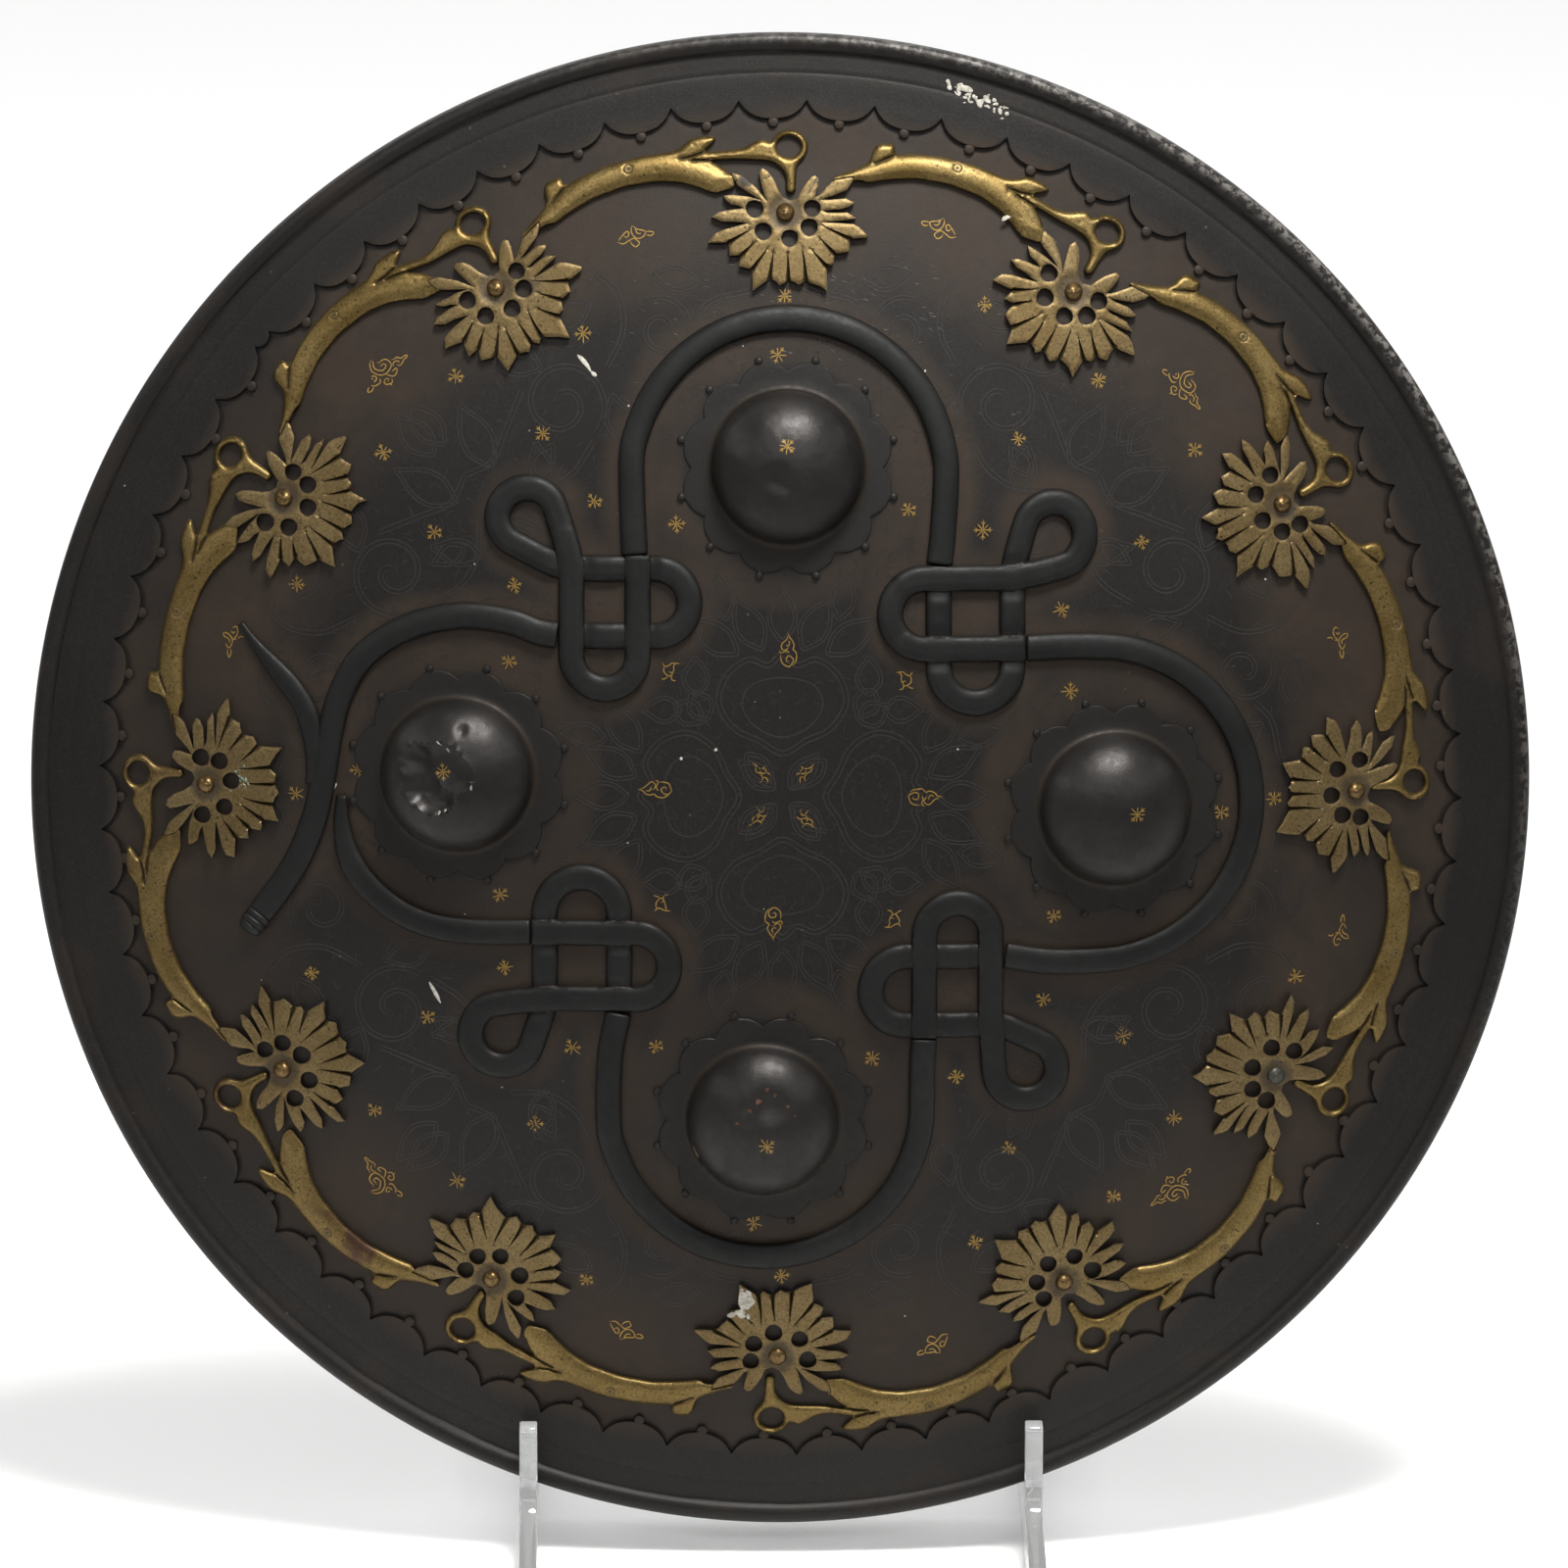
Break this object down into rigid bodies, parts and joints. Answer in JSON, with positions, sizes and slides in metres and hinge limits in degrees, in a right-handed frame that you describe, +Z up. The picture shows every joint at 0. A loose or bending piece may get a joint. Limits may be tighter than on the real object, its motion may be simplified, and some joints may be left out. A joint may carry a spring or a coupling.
{
  "type": "dhal shield",
  "caption": "Round domed steel dhal shield with bosses, knotted cord bands and a wreath of brass flowers and vines, leaning back on a clear stand.",
  "frame": {"origin": "on the surface that the stand stands on, under the middle of the whole object's box", "axes": "+Z up, the shield faces -Y and leans back towards +Y, +X is to the right for a viewer in front of the shield"},
  "size_m": [0.42, 0.22, 0.4223],
  "materials": {
    "shield_steel": "dark brown-black patina over engraved steel, worn and dusty",
    "boss_steel": "dark patina, scuffed, specks of gold inlay",
    "cord_steel": "smooth blue-grey steel, rubbed",
    "flower_brass": "old cast brass, pitted, brown in the recesses",
    "pin_brass": "rubbed brass",
    "vine_brass": "old cast brass, pitted, darker at the sides",
    "clear_acrylic": "clear polished sheet"
  },
  "bodies": {
    "root": {"shield_plate": "shield_steel", "boss_top": "boss_steel", "boss_right": "boss_steel", "boss_bottom": "boss_steel", "boss_left": "boss_steel", "knot_upper_left": "cord_steel", "knot_upper_right": "cord_steel", "knot_lower_left": "cord_steel", "knot_lower_right": "cord_steel", "cord_top": "cord_steel", "cord_right": "cord_steel", "cord_bottom": "cord_steel", "cord_left_upper": "cord_steel", "cord_left_lower": "cord_steel", "cord_tail": "cord_steel", "flower_01": "flower_brass", "flower_pin_01": "pin_brass", "vine_01": "vine_brass", "flower_02": "flower_brass", "flower_pin_02": "pin_brass", "vine_02": "vine_brass", "flower_03": "flower_brass", "flower_pin_03": "pin_brass", "vine_03": "vine_brass", "flower_04": "flower_brass", "flower_pin_04": "pin_brass", "vine_04": "vine_brass", "flower_05": "flower_brass", "flower_pin_05": "pin_brass", "vine_05": "vine_brass", "flower_06": "flower_brass", "flower_pin_06": "pin_brass", "vine_06": "vine_brass", "flower_07": "flower_brass", "flower_pin_07": "pin_brass", "vine_07": "vine_brass", "flower_08": "flower_brass", "flower_pin_08": "pin_brass", "vine_08": "vine_brass", "flower_09": "flower_brass", "flower_pin_09": "pin_brass", "vine_09": "vine_brass", "flower_10": "flower_brass", "flower_pin_10": "pin_brass", "vine_10": "vine_brass", "flower_11": "flower_brass", "flower_pin_11": "pin_brass", "vine_11": "vine_brass", "flower_12": "flower_brass", "flower_pin_12": "pin_brass", "vine_12": "vine_brass", "stand_side_left": "clear_acrylic", "stand_side_right": "clear_acrylic", "stand_crossbar": "clear_acrylic"}
  },
  "joints": []
}
